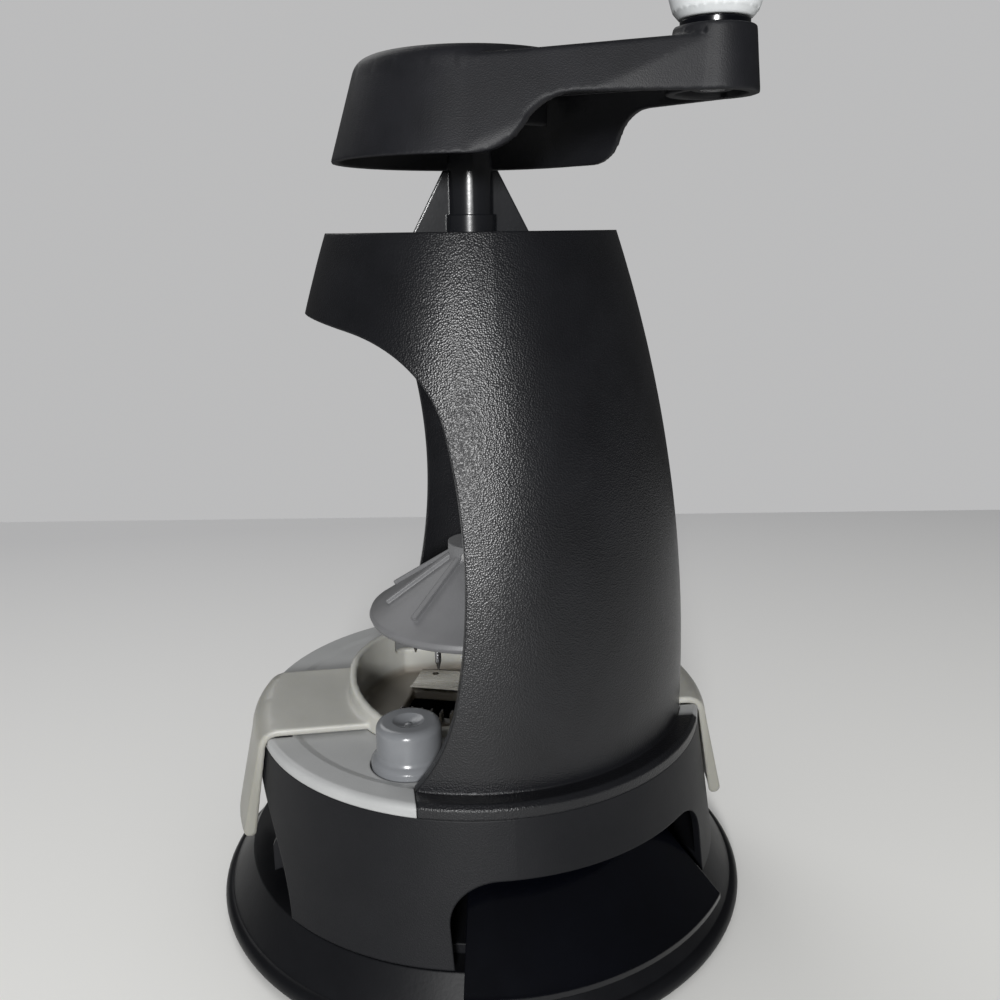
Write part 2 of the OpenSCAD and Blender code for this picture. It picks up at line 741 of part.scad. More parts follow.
module top_plate() {
    color("#a6a8ab") difference() {
        union() {
            translate([0, 0, plate_z]) cylinder(r = plate_r, h = plate_t);
            difference() {
                rotate_extrude() polygon(concat(
                    [[plate_r - 1, base_h], [skirt_top_r, base_h]],
                    arc([skirt_top_r - rim_round, rim_top - rim_round], rim_round, 0, 90, 6),
                    [[skirt_top_r - rim_w, rim_top], [plate_r - 1, plate_top - eps]]
                ));
                difference() {
                    translate([-big / 2, -big / 2, 0]) cube([big, big, big]);
                    mouth_solid(0.2);
                    translate([-slot_half + 0.2, 0, 0]) cube([2 * slot_half - 0.4, big, big]);
                    difference() {
                        translate([-rear_half + 0.2, 0, 0]) cube([2 * rear_half - 0.4, big, big]);
                        cylinder(r = tower_r + 0.2, h = big);
                    }
                }
            }
            translate([button_p[0], button_p[1], well_floor_z - well_floor_t])
                cylinder(d = well_d + 2 * well_wall, h = well_depth + well_floor_t - 1);
            for (side = [0, 180]) rotate(side) translate([-pad_w / 2, ring_r + 1, plate_top - eps])
                cube([pad_w, pad_l, rim_top - plate_top + eps]);
        }
        for (side = [0, 180]) rotate(side) translate([-notch_half, plate_r - 2, base_h + 0.8])
            cube([2 * notch_half, skirt_top_r, rim_h]);
        translate([0, 0, plate_z - 1]) linear_extrude(plate_t + 2) cup_outline(-gap);
        translate([button_p[0], button_p[1], 0]) {
            translate([0, 0, well_floor_z]) cylinder(d = well_d, h = big);
            cylinder(d = button_stem_d + 2 * run, h = big);
        }
        at_angles(foot_screw_r, foot_screw_angles) translate([0, 0, plate_z - 1])
            cylinder(d = screw_hole_d, h = plate_t + 2);
        at_angles(post_r, post_angles) translate([0, 0, plate_z - 1])
            cylinder(d = screw_d + 2 * fit, h = plate_t);
    }
}

module strand_chute() {
    side_t = 2;
    floor_t = 2;
    half = window_y;
    hang = ring_r + 1.5;
    back = hang + 3.4;
    front = skirt_top_r - 3;
    low = core_top + gap;
    knee = yoke_z + yoke_t + 1;
    high = knee + 2;
    under = bed_z - gap;
    color("#1d1e20") {
        for (x = [-half, half - side_t]) translate([x, 0, 0]) rotate([90, 0, 90]) linear_extrude(side_t)
            polygon([
                [back, plate_z], [back, high], [-knee_y, knee], [-front, low], [-front, low + 8],
                [-hang - 10, plate_z], [-hang, plate_z], [-hang, under], [hang, under], [hang, plate_z]
            ]);
        translate([-half, 0, 0]) rotate([90, 0, 90]) linear_extrude(2 * half)
            polygon([
                [back, plate_z], [back, high], [-knee_y, knee], [-front, low], [-front, low + floor_t],
                [-knee_y, knee + floor_t], [back - side_t, high + floor_t], [back - side_t, plate_z]
            ]);
    }
}

module release_button() {
    color("#b4b8c0") translate([button_p[0], button_p[1], 0]) {
        translate([0, 0, button_clip_z - 1])
            cylinder(d = button_stem_d, h = button_collar_z - button_clip_z + 2);
        rotate_extrude() difference() {
            polygon(concat(
                [
                    [0, button_collar_z], [button_collar_d / 2, button_collar_z],
                    [button_collar_d / 2, button_collar_top - 0.8],
                    [button_collar_d / 2 - 0.6, button_collar_top],
                    [button_d / 2 + 0.3, button_collar_top + 0.6], [button_d / 2, button_collar_top + 1.4]
                ],
                arc([button_d / 2 - cap_round, button_top - cap_round], cap_round, 0, 90, 8),
                [[0, button_top]]
            ));
            difference() {
                translate([0, button_top + 7]) circle(8.2);
                translate([0, button_top - 2.4]) circle(1.6, $fn = 32);
            }
        }
    }
}

// Points of one ring of a coil's wire, at the given angle along the coil
function coil_ring(r, wire, pitch, a) =
    [for (k = [0:5]) let (b = k * 60, q = r + wire / 2 * cos(b))
        [q * cos(a), q * sin(a), pitch * a / 360 + wire / 2 * sin(b)]];

// A coil spring that stands on z = 0, with its wire drawn as one tube
module coil(r, wire, turns, height) {
    rings = turns * 12;
    pitch = (height - wire) / turns;
    points = [for (i = [0:rings]) each coil_ring(r, wire, pitch, i * 30)];
    sides = [for (i = [0:rings - 1], k = [0:5]) let (a = i * 6 + k, b = i * 6 + (k + 1) % 6)
        each [[a, a + 6, b], [b, a + 6, b + 6]]];
    last = rings * 6;
    ends = concat([for (k = [1:4]) [0, k, k + 1]], [for (k = [1:4]) [last, last + k + 1, last + k]]);
    translate([0, 0, wire / 2]) polyhedron(points, concat(sides, ends));
}

module button_spring() {
    color("silver") translate([button_p[0], button_p[1], well_floor_z + 0.1])
        coil(button_stem_d / 2 + 1.4, spring_wire, spring_turns, button_collar_z - well_floor_z - 0.2);
}

module button_clip() {
    color("silver") translate([button_p[0], button_p[1], button_clip_z]) difference() {
        cylinder(d = button_clip_d, h = button_clip_t);
        translate([0, 0, -1]) cylinder(d = button_stem_d + 2 * fit, h = button_clip_t + 2);
        translate([0, -1.8, -1]) cube([button_clip_d, 3.6, button_clip_t + 2]);
    }
}

// The cut-out over the lever, with round upper corners and its middle along +X
module lever_cut() {
    half = skirt_foot_r * sin(cut_half);
    translate([hinge_u, 0, 0]) rotate([90, 0, 90]) linear_extrude(skirt_foot_r) {
        translate([-half, 0]) square([2 * half, cut_top - cut_corner]);
        translate([-half + cut_corner, 0]) square([2 * (half - cut_corner), cut_top]);
        for (x = [-half + cut_corner, half - cut_corner])
            translate([x, cut_top - cut_corner]) circle(cut_corner);
    }
}

// The arch that leaves room for the strands and for a finger behind the front tongue
module front_cut() {
    translate([0, -skirt_top_r / 2, front_top - front_arch_r]) rotate([90, 0, 0])
        cylinder(r = front_arch_r, h = skirt_foot_r);
}

module base_skirt() {
    color("#2c2d30") difference() {
        rotate_extrude($fn = 180) difference() {
            polygon([
                [0, skirt_foot_z], [skirt_foot_r, skirt_foot_z], [skirt_top_r, base_h], [0, base_h]
            ]);
            polygon([
                [-1, 0], [skirt_foot_r - skirt_wall, 0], [skirt_foot_r - skirt_wall, skirt_foot_z],
                [skirt_foot_r - skirt_wall - (core_top - skirt_foot_z) * skirt_slope, core_top],
                [skirt_foot_r - skirt_wall - ledge_w, core_top],
                [skirt_foot_r - skirt_wall - ledge_w, core_top + 2],
                [skirt_foot_r - skirt_wall - (core_top + 2 - skirt_foot_z) * skirt_slope, core_top + 2],
                [skirt_top_r - skirt_wall + flange_t * skirt_slope, flange_z],
                [flange_in_r, flange_z], [flange_in_r, base_h + 1], [-1, base_h + 1]
            ]);
        }
        rotate(lever_angle) lever_cut();
        front_cut();
    }
}

module base_core() {
    color("#1a1b1d") difference() {
        union() {
            translate([0, 0, disc_h]) cylinder(r = contact_in_r + 1, h = core_t);
            translate([0, 0, core_top - eps]) cylinder(d = guide_d, h = guide_h);
            translate([0, 0, core_top - eps]) cylinder(r = pocket_r + 2, h = 2);
            at_angles(post_r, post_angles) translate([0, 0, core_top - eps])
                cylinder(d = post_d, h = plate_z - core_top);
            rotate(lever_angle) for (y = [-lug_y - lug_t, lug_y])
                translate([hinge_u - lug_w / 2, y, core_top - eps]) cube([lug_w, lug_t, lug_h]);
        }
        translate([0, 0, disc_h - 1]) cylinder(r = pocket_r, h = core_t + 1);
        translate([0, 0, disc_h - 1]) cylinder(d = stem_d + 2 * run, h = big);
        rotate(lever_angle) translate([hinge_u, 0, hinge_z]) rotate([90, 0, 0])
            cylinder(d = pin_d + 2 * fit, h = big, center = true);
        at_angles(post_r, post_angles) translate([0, 0, disc_h - 1]) {
            cylinder(d = screw_hole_d, h = big);
            cylinder(d = screw_head_d + 0.6, h = screw_head_h + 1);
        }
    }
}

module base_screws() {
    color("silver") at_angles(post_r, post_angles)
        translate([0, 0, disc_h + screw_head_h]) screw(plate_z - disc_h - screw_head_h + 3);
}

module suction_lever() {
    paddle = [
        [lever_in_r, paddle_in_z - paddle_t], [lever_r - paddle_foot_l, paddle_out_z - paddle_t],
        [lever_r, paddle_out_z - paddle_t], [lever_r, paddle_out_z - 0.6],
        [lever_r - 0.8, paddle_out_z], [lever_in_r + 1, paddle_in_z], [lever_in_r, paddle_in_z]
    ];
    color("#0c0d10") rotate(lever_angle) difference() {
        union() {
            rotate(-lever_half) rotate_extrude(angle = 2 * lever_half) polygon(paddle);
            translate([hinge_u, 0, hinge_z]) rotate([90, 0, 0])
                cylinder(r = lever_hub_r, h = 2 * lever_hub_w, center = true);
            for (y = [-lever_arm_y - lever_arm_w, lever_arm_y]) translate([0, y + lever_arm_w, 0])
                rotate([90, 0, 0]) linear_extrude(lever_arm_w) polygon([
                    [hinge_u, hinge_z - lever_hub_r], [lever_in_r + 4, paddle_in_z - 6],
                    [lever_in_r + 1, paddle_in_z - 1], [hinge_u, hinge_z + lever_hub_r]
                ]);
            translate([hinge_u, yoke_w / 4, hinge_z]) rotate([90, 0, 0]) linear_extrude(yoke_w / 2) {
                translate(lobe_p) circle(lobe_r);
                polygon([
                    [0, -lever_hub_r + 1], [0, lever_hub_r - 1], lobe_p + [0, lobe_r], lobe_p - [0, lobe_r]
                ]);
            }
        }
        translate([hinge_u, 0, hinge_z]) rotate([90, 0, 0])
            cylinder(d = pin_d + 2 * run, h = big, center = true);
    }
}

module lever_pin() {
    color("silver") rotate(lever_angle) translate([hinge_u, 0, hinge_z]) rotate([90, 0, 0])
        cylinder(d = pin_d, h = 2 * (lug_y + lug_t) + 1, center = true);
}

module suction_yoke() {
    color("#1a1b1d") rotate(lever_angle) difference() {
        union() {
            translate([0, 0, yoke_z]) cylinder(d = stem_d + 7, h = yoke_t);
            translate([0, -yoke_w / 2, yoke_z]) cube([yoke_l, yoke_w, yoke_t]);
        }
        translate([0, 0, yoke_z - 1]) cylinder(d = stem_d - 2 + 2 * fit, h = yoke_t + 2);
    }
}

module suction_stem() {
    color("silver") {
        translate([0, 0, stem_flange_z]) cylinder(r = stem_flange_r, h = stem_flange_t);
        translate([0, 0, stem_flange_z]) cylinder(d = stem_d, h = yoke_z - stem_flange_z);
        translate([0, 0, yoke_z - eps]) cylinder(d = stem_d - 2, h = yoke_t + eps);
    }
}

module suction_disc() {
    color("#202124") rotate_extrude($fn = 180) difference() {
        union() {
            polygon([
                [0, 0], [disc_r - disc_roll, 0], [disc_slope_r, 2 * disc_roll],
                [disc_top_r, disc_h], [0, disc_h]
            ]);
            translate([disc_r - disc_roll, disc_roll]) circle(disc_roll, $fn = 48);
        }
        polygon([
            [-1, -1], [contact_in_r, -1], [contact_in_r, 0], [contact_in_r - 12, chamber_h], [-1, chamber_h]
        ]);
        translate([-1, disc_h - 4]) square([pocket_r + 1, 5]);
    }
}

crank_arm();
crank_knob();
knob_spindle();
knob_spacer();
crank_pin();
drive_shaft();
drive_sleeve();
bearing_bridge();
bridge_screws();
tower_shell();
tower_screws();
food_holder();
holder_spikes();
holder_pin();
blade_insert();
slicing_blade();
julienne_comb();
coring_tube();
top_plate();
strand_chute();
release_button();
button_spring();
button_clip();
base_skirt();
base_core();
base_screws();
suction_lever();
lever_pin();
suction_yoke();
suction_stem();
suction_disc();
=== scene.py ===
import math
import bpy
from mathutils import Matrix, Vector


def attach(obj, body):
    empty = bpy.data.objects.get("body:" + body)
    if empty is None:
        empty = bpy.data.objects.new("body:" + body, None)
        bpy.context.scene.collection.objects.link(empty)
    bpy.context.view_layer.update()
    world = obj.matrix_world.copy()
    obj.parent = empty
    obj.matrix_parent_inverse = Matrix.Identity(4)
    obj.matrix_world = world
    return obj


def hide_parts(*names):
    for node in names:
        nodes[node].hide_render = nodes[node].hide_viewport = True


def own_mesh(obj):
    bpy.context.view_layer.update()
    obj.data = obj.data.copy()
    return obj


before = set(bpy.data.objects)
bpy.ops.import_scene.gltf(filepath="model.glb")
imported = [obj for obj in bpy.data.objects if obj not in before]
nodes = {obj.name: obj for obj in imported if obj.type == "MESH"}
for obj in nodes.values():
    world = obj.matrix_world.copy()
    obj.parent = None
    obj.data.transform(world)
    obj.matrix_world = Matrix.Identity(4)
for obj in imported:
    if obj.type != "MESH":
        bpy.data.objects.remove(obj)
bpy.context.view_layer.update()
scene = bpy.context.scene
scene.view_settings.view_transform = "Standard"
print("frame loaded with", len(nodes), "CAD nodes")


# nodes that the finishes share
def startFinish(name):
    mat = bpy.data.materials.new(name)
    mat.use_nodes = True
    tree = mat.node_tree
    shader = tree.nodes["Principled BSDF"]
    coord = tree.nodes.new("ShaderNodeTexCoord")
    return mat, tree, shader, coord


def addNoise(tree, coord, scale, detail=3.0, rough=0.55, stretch=(1.0, 1.0, 1.0)):
    mapping = tree.nodes.new("ShaderNodeMapping")
    mapping.inputs["Scale"].default_value = stretch
    noise = tree.nodes.new("ShaderNodeTexNoise")
    noise.inputs["Scale"].default_value = scale
    noise.inputs["Detail"].default_value = detail
    noise.inputs["Roughness"].default_value = rough
    tree.links.new(coord.outputs["Object"], mapping.inputs["Vector"])
    tree.links.new(mapping.outputs["Vector"], noise.inputs["Vector"])
    return noise


def addPebbles(tree, coord, scale):
    pebbles = tree.nodes.new("ShaderNodeTexVoronoi")
    pebbles.inputs["Scale"].default_value = scale
    tree.links.new(coord.outputs["Object"], pebbles.inputs["Vector"])
    return pebbles


def addColours(tree, source, low, high, start=0.35, end=0.65):
    ramp = tree.nodes.new("ShaderNodeValToRGB")
    ramp.color_ramp.elements[0].position = start
    ramp.color_ramp.elements[0].color = (*low, 1.0)
    ramp.color_ramp.elements[1].position = end
    ramp.color_ramp.elements[1].color = (*high, 1.0)
    tree.links.new(source, ramp.inputs["Fac"])
    return ramp


def addRange(tree, source, low, high, fromLow=0.3, fromHigh=0.7):
    span = tree.nodes.new("ShaderNodeMapRange")
    span.inputs["From Min"].default_value = fromLow
    span.inputs["From Max"].default_value = fromHigh
    span.inputs["To Min"].default_value = low
    span.inputs["To Max"].default_value = high
    tree.links.new(source, span.inputs["Value"])
    return span


def addBump(tree, source, strength, depth, before=None):
    bump = tree.nodes.new("ShaderNodeBump")
    bump.inputs["Strength"].default_value = strength
    bump.inputs["Distance"].default_value = depth
    tree.links.new(source, bump.inputs["Height"])
    if before is not None:
        tree.links.new(before.outputs["Normal"], bump.inputs["Normal"])
    return bump


def addSoftEdge(tree, radius, samples=6):
    soft = tree.nodes.new("ShaderNodeBevel")
    soft.samples = samples
    soft.inputs["Radius"].default_value = radius
    return soft


# moulded plastics and rubber, from leathery grain to gloss; a look may change any of these values
plasticBase = {"mottleDetail": 4.0, "smudgeDetail": 5.0, "smudgeRough": 0.6, "grainDetail": 2.0,
               "grainRough": 0.5, "specular": 0.5, "edge": 0.0006}


def plasticFinish(ownLook):
    look = {**plasticBase, **ownLook}
    mat, tree, shader, coord = startFinish(look["name"])
    mottle = addNoise(tree, coord, look["mottle"], look["mottleDetail"])
    ramp = addColours(tree, mottle.outputs["Fac"], look["low"], look["high"])
    tree.links.new(ramp.outputs["Color"], shader.inputs["Base Color"])
    smudge = addNoise(tree, coord, look["smudge"], look["smudgeDetail"], look["smudgeRough"])
    span = addRange(tree, smudge.outputs["Fac"], *look["rough"])
    tree.links.new(span.outputs["Result"], shader.inputs["Roughness"])
    if "pebble" in look:
        height = addPebbles(tree, coord, look["pebble"]).outputs["Distance"]
    else:
        height = addNoise(tree, coord, look["grain"], look["grainDetail"], look["grainRough"]).outputs["Fac"]
    soft = addSoftEdge(tree, look["edge"])
    bump = addBump(tree, height, look["bump"], look["depth"], soft)
    tree.links.new(bump.outputs["Normal"], shader.inputs["Normal"])
    shader.inputs["Specular IOR Level"].default_value = look["specular"]
    return mat


towerLook = {"name": "towerGrain", "low": (0.0048, 0.005, 0.0062), "high": (0.0068, 0.0071, 0.0086),
             "mottle": 60.0, "smudge": 26.0, "rough": (0.29, 0.35), "specular": 0.42, "pebble": 2300.0,
             "bump": 0.3, "depth": 0.0003, "edge": 0.0009}
crankLook = {"name": "crankGrain", "low": (0.0066, 0.0069, 0.0086), "high": (0.0094, 0.0097, 0.012),
             "mottle": 70.0, "smudge": 30.0, "rough": (0.44, 0.54), "specular": 0.28, "grain": 3000.0,
             "bump": 0.22, "depth": 0.0003}
skirtLook = {"name": "skirtSatin", "low": (0.0042, 0.0045, 0.0058), "high": (0.006, 0.0063, 0.0078),
             "mottle": 40.0, "smudge": 18.0, "rough": (0.42, 0.52), "specular": 0.2, "grain": 2600.0,
             "bump": 0.2, "depth": 0.0003}
rubberLook = {"name": "discRubber", "low": (0.0048, 0.005, 0.006), "high": (0.0068, 0.0071, 0.0084),
              "mottle": 50.0, "smudge": 20.0, "rough": (0.3, 0.42), "specular": 0.12, "grain": 900.0,
              "bump": 0.08, "depth": 0.0003}
glossLook = {"name": "glossBlack", "low": (0.0006, 0.0008, 0.0018), "high": (0.001, 0.0013, 0.0028),
             "mottle": 45.0, "smudge": 22.0, "rough": (0.14, 0.2), "grain": 300.0,
             "bump": 0.02, "depth": 0.0003}
bossLook = {"name": "bossBlack", "low": (0.006, 0.0065, 0.008), "high": (0.009, 0.0096, 0.0115),
            "mottle": 45.0, "smudge": 22.0, "rough": (0.18, 0.24), "specular": 0.7, "grain": 900.0,
            "bump": 0.05, "depth": 0.0002}
knobLook = {"name": "knobPale", "low": (0.60, 0.62, 0.63), "high": (0.68, 0.70, 0.71),
            "mottle": 60.0, "smudge": 24.0, "rough": (0.3, 0.4), "grain": 1400.0,
            "bump": 0.12, "depth": 0.0002}
holderLook = {"name": "holderGrey", "low": (0.115, 0.116, 0.12), "high": (0.14, 0.141, 0.146),
              "mottle": 60.0, "smudge": 30.0, "rough": (0.38, 0.5), "grain": 1600.0,
              "bump": 0.12, "depth": 0.0002}
trayLook = {"name": "trayGrey", "low": (0.31, 0.315, 0.315), "high": (0.345, 0.35, 0.35),
            "mottle": 50.0, "smudge": 26.0, "rough": (0.36, 0.48), "grain": 1800.0,
            "bump": 0.12, "depth": 0.0002}
buttonLook = {"name": "buttonGrey", "low": (0.145, 0.151, 0.16), "high": (0.17, 0.177, 0.187),
              "mottle": 60.0, "smudge": 30.0, "rough": (0.18, 0.28), "grain": 700.0,
              "bump": 0.05, "depth": 0.0002}
nylonLook = {"name": "sleeveNylon", "low": (0.66, 0.64, 0.58), "high": (0.72, 0.70, 0.64),
             "mottle": 60.0, "smudge": 30.0, "rough": (0.4, 0.5), "grain": 1500.0,
             "bump": 0.08, "depth": 0.0002}


# brushed steel of the shaft, pins, screws and blades
def steelFinish(look):
    mat, tree, shader, coord = startFinish(look["name"])
    brushed = addNoise(tree, coord, look["brush"], look["detail"], look["grit"], look["stretch"])
    ramp = addColours(tree, brushed.outputs["Fac"], look["low"], look["high"], *look["tones"])
    tree.links.new(ramp.outputs["Color"], shader.inputs["Base Color"])
    span = addRange(tree, brushed.outputs["Fac"], *look["rough"])
    tree.links.new(span.outputs["Result"], shader.inputs["Roughness"])
    bump = addBump(tree, brushed.outputs["Fac"], look["bump"], look["depth"])
    tree.links.new(bump.outputs["Normal"], shader.inputs["Normal"])
    shader.inputs["Metallic"].default_value = 1.0
    return mat


steelLook = {"name": "plainSteel", "low": (0.50, 0.50, 0.51), "high": (0.62, 0.62, 0.63), "tones": (0.3, 0.7),
             "brush": 500.0, "detail": 3.0, "grit": 0.6, "stretch": (1.0, 1.0, 0.08), "rough": (0.22, 0.34),
             "bump": 0.08, "depth": 0.0002}
bladeLook = {"name": "bladeSteel", "low": (0.46, 0.45, 0.43), "high": (0.58, 0.57, 0.55), "tones": (0.3, 0.7),
             "brush": 700.0, "detail": 3.0, "grit": 0.6, "stretch": (1.0, 0.06, 1.0), "rough": (0.2, 0.36),
             "bump": 0.08, "depth": 0.0002}


# the insert: milky walls, with painted shade as a browner, darker bed low down in the middle and as darker
# tongues outside
def milkyFinish(look):
    mat, tree, shader, coord = startFinish(look["name"])
    cloud = addNoise(tree, coord, look["cloud"], look["cloudDetail"])
    ramp = addColours(tree, cloud.outputs["Fac"], look["low"], look["high"])
    split = tree.nodes.new("ShaderNodeSeparateXYZ")
    tree.links.new(coord.outputs["Object"], split.inputs["Vector"])
    rise = addRange(tree, split.outputs["Z"], 0.0, 1.0, look["bedTop"], look["wallFoot"])
    flat = tree.nodes.new("ShaderNodeMapping")
    flat.inputs["Scale"].default_value = (1.0, 1.0, 0.0)
    tree.links.new(coord.outputs["Object"], flat.inputs["Vector"])
    reach = tree.nodes.new("ShaderNodeVectorMath")  # distance from the upright axis
    reach.operation = "LENGTH"
    tree.links.new(flat.outputs["Vector"], reach.inputs[0])
    outer = addRange(tree, reach.outputs["Value"], 0.0, 1.0, *look["bedEdge"])
    wall = tree.nodes.new("ShaderNodeMath")
    wall.operation = "MAXIMUM"
    tree.links.new(rise.outputs["Result"], wall.inputs[0])
    tree.links.new(outer.outputs["Result"], wall.inputs[1])
    # painted shade: the bed low down in the middle takes a browner, darker colour than the walls
    bedShadeMix = tree.nodes.new("ShaderNodeMixRGB")
    bedShadeMix.inputs["Color1"].default_value = (*look["bedShade"], 1.0)
    tree.links.new(wall.outputs["Value"], bedShadeMix.inputs["Fac"])
    tree.links.new(ramp.outputs["Color"], bedShadeMix.inputs["Color2"])
    # painted shade: the tongues outside take a darker colour
    tongueShadeMask = addRange(tree, reach.outputs["Value"], 0.0, 1.0, *look["tongueAt"])
    shade = tree.nodes.new("ShaderNodeMixRGB")
    shade.inputs["Color2"].default_value = (*look["tongue"], 1.0)
    tree.links.new(tongueShadeMask.outputs["Result"], shade.inputs["Fac"])
    tree.links.new(bedShadeMix.outputs["Color"], shade.inputs["Color1"])
    tree.links.new(shade.outputs["Color"], shader.inputs["Base Color"])
    span = addRange(tree, cloud.outputs["Fac"], *look["rough"])
    tree.links.new(span.outputs["Result"], shader.inputs["Roughness"])
    grain = addNoise(tree, coord, look["grain"], look["grainDetail"])
    soft = addSoftEdge(tree, look["edge"])
    bump = addBump(tree, grain.outputs["Fac"], look["bump"], look["depth"], soft)
    tree.links.new(bump.outputs["Normal"], shader.inputs["Normal"])
    shader.inputs["Transmission Weight"].default_value = look["clear"]
    shader.inputs["Subsurface Weight"].default_value = look["glow"]
    shader.inputs["Subsurface Radius"].default_value = look["glowReach"]
    shader.inputs["IOR"].default_value = look["ior"]
    return mat


# the bed and tongue colours are painted shade
milkyLook = {"name": "insertMilky", "low": (0.49, 0.488, 0.452), "high": (0.56, 0.557, 0.516),
             "cloud": 40.0, "cloudDetail": 4.0, "rough": (0.28, 0.4), "grain": 900.0, "grainDetail": 2.0,
             "bump": 0.1, "depth": 0.0002, "edge": 0.001,
             "bedShade": (0.34, 0.31, 0.265), "bedTop": 0.0548, "wallFoot": 0.0572, "bedEdge": (0.039, 0.042),
             "tongue": (0.31, 0.306, 0.272), "tongueAt": (0.063, 0.071),
             "clear": 0.3, "glow": 0.15, "glowReach": (0.004, 0.0035, 0.002), "ior": 1.45}

towerGrain = plasticFinish(towerLook)
crankGrain = plasticFinish(crankLook)
skirtSatin = plasticFinish(skirtLook)
discRubber = plasticFinish(rubberLook)
glossBlack = plasticFinish(glossLook)
bossBlack = plasticFinish(bossLook)
knobPale = plasticFinish(knobLook)
holderGrey = plasticFinish(holderLook)
trayGrey = plasticFinish(trayLook)
buttonGrey = plasticFinish(buttonLook)
sleeveNylon = plasticFinish(nylonLook)
plainSteel = steelFinish(steelLook)
bladeSteel = steelFinish(bladeLook)
insertMilky = milkyFinish(milkyLook)
print("finishes ready")

finishes = {
    "tower_shell": towerGrain, "crank_arm": crankGrain, "bearing_bridge": bossBlack,
    "base_skirt": skirtSatin, "strand_chute": skirtSatin, "base_core": skirtSatin, "suction_yoke": skirtSatin,
    "suction_disc": discRubber, "suction_lever": glossBlack, "knob_spacer": glossBlack,
    "crank_knob": knobPale, "food_holder": holderGrey, "top_plate": trayGrey, "release_button": buttonGrey,
    "drive_sleeve": sleeveNylon, "blade_insert": insertMilky,
    "slicing_blade": bladeSteel, "julienne_comb": bladeSteel, "coring_tube": bladeSteel,
    "drive_shaft": plainSteel, "crank_pin": plainSteel, "holder_pin": plainSteel, "holder_spikes": plainSteel,
    "knob_spindle": plainSteel, "lever_pin": plainSteel, "suction_stem": plainSteel,
    "button_spring": plainSteel, "button_clip": plainSteel,
    "bridge_screws": plainSteel, "tower_screws": plainSteel, "base_screws": plainSteel}
for name, mat in finishes.items():
    nodes[name].data.materials.clear()
    nodes[name].data.materials.append(mat)
print("CAD nodes dressed")

# copies of solids; where a cell size is given, their edges are rounded as a mould leaves them
moulding = {"mergeGap": 0.00001, "relaxFactor": 0.5}


def mouldedCopy(mould):
    source = nodes[mould["node"]]
    bpy.ops.object.select_all(action="DESELECT")
    piece = bpy.data.objects.new(mould["name"], source.data.copy())
    scene.collection.objects.link(piece)
    piece.matrix_world = source.matrix_world
    piece.select_set(True)
    bpy.context.view_layer.objects.active = piece
    bpy.ops.object.transform_apply(location=True, rotation=True, scale=True)
    bpy.ops.object.mode_set(mode="EDIT")
    bpy.ops.mesh.select_all(action="SELECT")
    bpy.ops.mesh.remove_doubles(threshold=moulding["mergeGap"])
    bpy.ops.mesh.normals_make_consistent(inside=False)
    bpy.ops.object.mode_set(mode="OBJECT")
    if "cell" in mould:
        piece.data.remesh_voxel_size = mould["cell"]
        bpy.ops.object.voxel_remesh()
        relax = piece.modifiers.new("relax", "SMOOTH")
        relax.factor = moulding["relaxFactor"]
        relax.iterations = mould["relax"]
        bpy.ops.object.modifier_apply(modifier="relax")
    bpy.ops.object.shade_smooth()
    piece.data.materials.clear()
    piece.data.materials.append(finishes[mould["node"]])
    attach(piece, mould["body"])
    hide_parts(mould["node"])
    print(mould["name"], len(piece.data.polygons), "faces")
    return piece


crankMould = {"name": "mouldedCrank", "node": "crank_arm", "body": "spindle", "cell": 0.0007, "relax": 5}
mouldedCopy(crankMould)
insertMould = {"name": "mouldedInsert", "node": "blade_insert", "body": "stand", "cell": 0.0006, "relax": 4}
mouldedCopy(insertMould)
knobMould = {"name": "mouldedKnob", "node": "crank_knob", "body": "knob", "cell": 0.0003, "relax": 4}
mouldedCopy(knobMould)

# the button's spring, copied and shaded smooth
springMould = {"name": "wireSpring", "node": "button_spring", "body": "stand", "joint": "button_press",
               "travel": 0.003}
spring = mouldedCopy(springMould)
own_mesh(spring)

# lamps
keyLamp = {"name": "keyLamp", "place": (1.5675, -0.375, 0.4675), "aim": (0.0, 0.0, 0.13),
           "size": 0.28, "power": 5.4, "spread": 80.0}
fillLamp = {"name": "fillLamp", "place": (-0.9, -0.45, 1.0), "aim": (0.0, 0.0, 0.1),
            "size": 0.8, "power": 3.6, "spread": 180.0}


def addLamp(lamp):
    light = bpy.data.lights.new(lamp["name"], "AREA")
    light.shape = "DISK"
    light.size = lamp["size"]
    light.energy = lamp["power"]
    light.spread = math.radians(lamp["spread"])
    lampObject = bpy.data.objects.new(lamp["name"], light)
    scene.collection.objects.link(lampObject)
    lampObject.location = lamp["place"]
    turn = (Vector(lamp["aim"]) - Vector(lamp["place"])).to_track_quat("-Z", "Y")
    lampObject.rotation_euler = turn.to_euler()


addLamp(keyLamp)
addLamp(fillLamp)

# floor with painted light: a painted pool of light, palest in front of the object, and painted shade, darker
# behind it and past the camera
floorLook = {"wide": 4.0, "deep": 3.0, "end": 0.41, "turn": -8.4, "drop": 0.0002, "rough": 0.6,
             "far": (0.59, 0.59, 0.595), "near": (0.93, 0.928, 0.9), "beyond": (0.32, 0.32, 0.315),
             "farAt": -0.4, "nearAt": 0.17, "beyondAt": 1.0}
bpy.ops.object.select_all(action="DESELECT")
bpy.ops.mesh.primitive_plane_add(size=1.0, location=(0.0, 0.0, -floorLook["drop"]))
floor = bpy.context.object
floor.name = "floor"
floor.scale = (floorLook["deep"], floorLook["wide"], 1.0)
floor.location.x = floorLook["deep"] / 2 - floorLook["end"]
bpy.ops.object.transform_apply(location=True, scale=True)
floor.rotation_euler.z = math.radians(floorLook["turn"])
bpy.ops.object.transform_apply(rotation=True)
floorMat, floorTree, floorShader, floorCoord = startFinish("paleFloor")
floorSplit = floorTree.nodes.new("ShaderNodeSeparateXYZ")
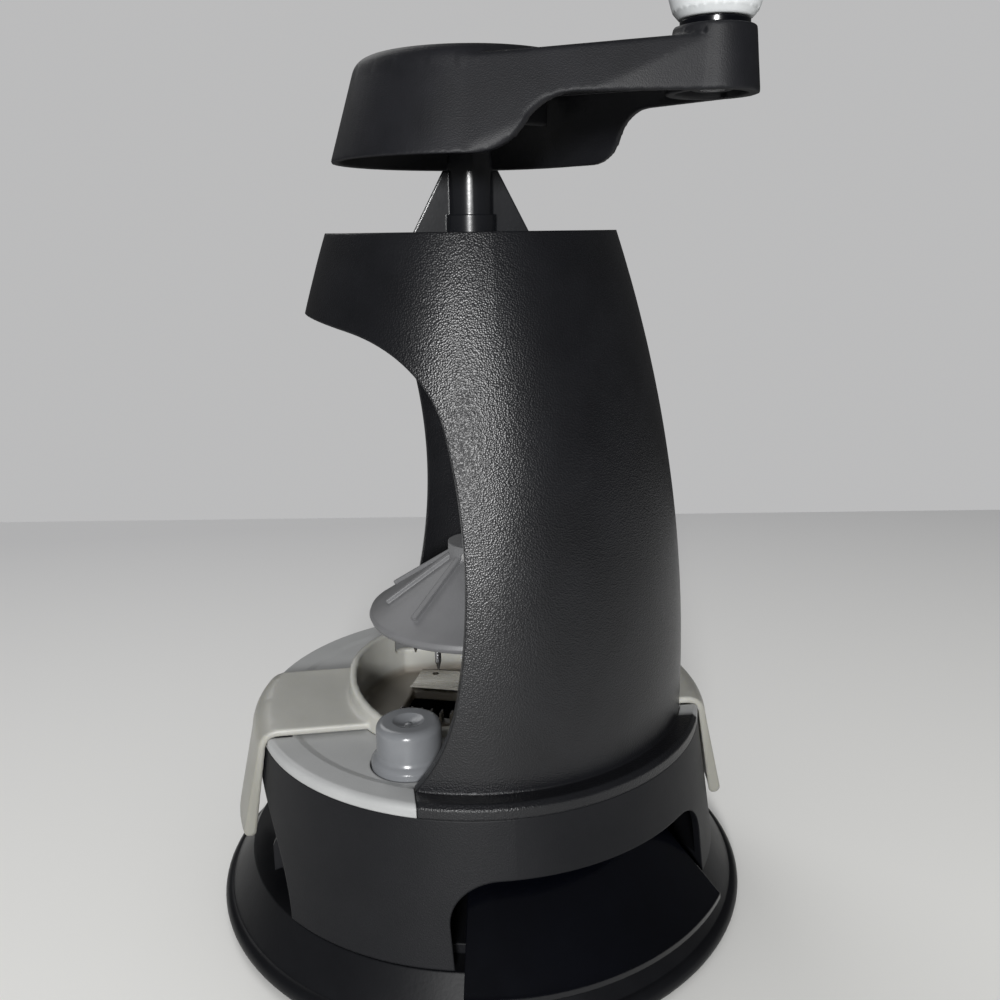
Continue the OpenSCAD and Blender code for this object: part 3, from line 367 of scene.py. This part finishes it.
floorTree.links.new(floorCoord.outputs["Object"], floorSplit.inputs["Vector"])
# painted light: the floor colour runs from painted shade behind the object, through a painted pool of light
# in front of it, to painted shade past the camera
floorSpan = addRange(floorTree, floorSplit.outputs["X"], 0.0, 1.0, floorLook["farAt"], floorLook["beyondAt"])
floorLightRamp = addColours(floorTree, floorSpan.outputs["Result"], floorLook["far"], floorLook["beyond"],
                       0.0, 1.0)
nearShare = (floorLook["nearAt"] - floorLook["farAt"]) / (floorLook["beyondAt"] - floorLook["farAt"])
floorLightRamp.color_ramp.elements.new(nearShare).color = (*floorLook["near"], 1.0)
floorTree.links.new(floorLightRamp.outputs["Color"], floorShader.inputs["Base Color"])
floorShader.inputs["Roughness"].default_value = floorLook["rough"]
floor.data.materials.append(floorMat)

# sky: pale to the camera and through the insert, soft light on the object, dim in gloss
skyLook = {"seen": (0.50, 0.50, 0.503), "light": (0.42, 0.42, 0.42), "gloss": (0.06, 0.06, 0.06)}
world = bpy.data.worlds.new("studioSky")
scene.world = world
world.use_nodes = True
skyTree = world.node_tree
background = skyTree.nodes["Background"]
path = skyTree.nodes.new("ShaderNodeLightPath")
seen = skyTree.nodes.new("ShaderNodeMath")
seen.operation = "MAXIMUM"
skyTree.links.new(path.outputs["Is Camera Ray"], seen.inputs[0])
skyTree.links.new(path.outputs["Is Transmission Ray"], seen.inputs[1])
unseen = skyTree.nodes.new("ShaderNodeMixRGB")
unseen.inputs["Color1"].default_value = (*skyLook["light"], 1.0)
unseen.inputs["Color2"].default_value = (*skyLook["gloss"], 1.0)
skyTree.links.new(path.outputs["Is Glossy Ray"], unseen.inputs["Fac"])
level = skyTree.nodes.new("ShaderNodeMixRGB")
level.inputs["Color2"].default_value = (*skyLook["seen"], 1.0)
skyTree.links.new(seen.outputs["Value"], level.inputs["Fac"])
skyTree.links.new(unseen.outputs["Color"], level.inputs["Color1"])
skyTree.links.new(level.outputs["Color"], background.inputs["Color"])

# camera at the photograph's place
view = {"place": (0.2849, -0.0350, 0.19893), "heading": 81.581, "down": 15.03, "roll": -0.715,
        "lens": 36.0, "sensor": 36.0, "clip": 0.01}
camera = bpy.data.cameras.new("viewCamera")
camera.lens = view["lens"]
camera.sensor_width = view["sensor"]
camera.clip_start = view["clip"]
viewer = bpy.data.objects.new("viewCamera", camera)
scene.collection.objects.link(viewer)
viewer.matrix_world = (
    Matrix.Translation(view["place"]) @ Matrix.Rotation(math.radians(view["heading"]), 4, "Z")
    @ Matrix.Rotation(math.radians(90.0 - view["down"]), 4, "X")
    @ Matrix.Rotation(math.radians(view["roll"]), 4, "Z"))
scene.camera = viewer
print("studio and camera ready")
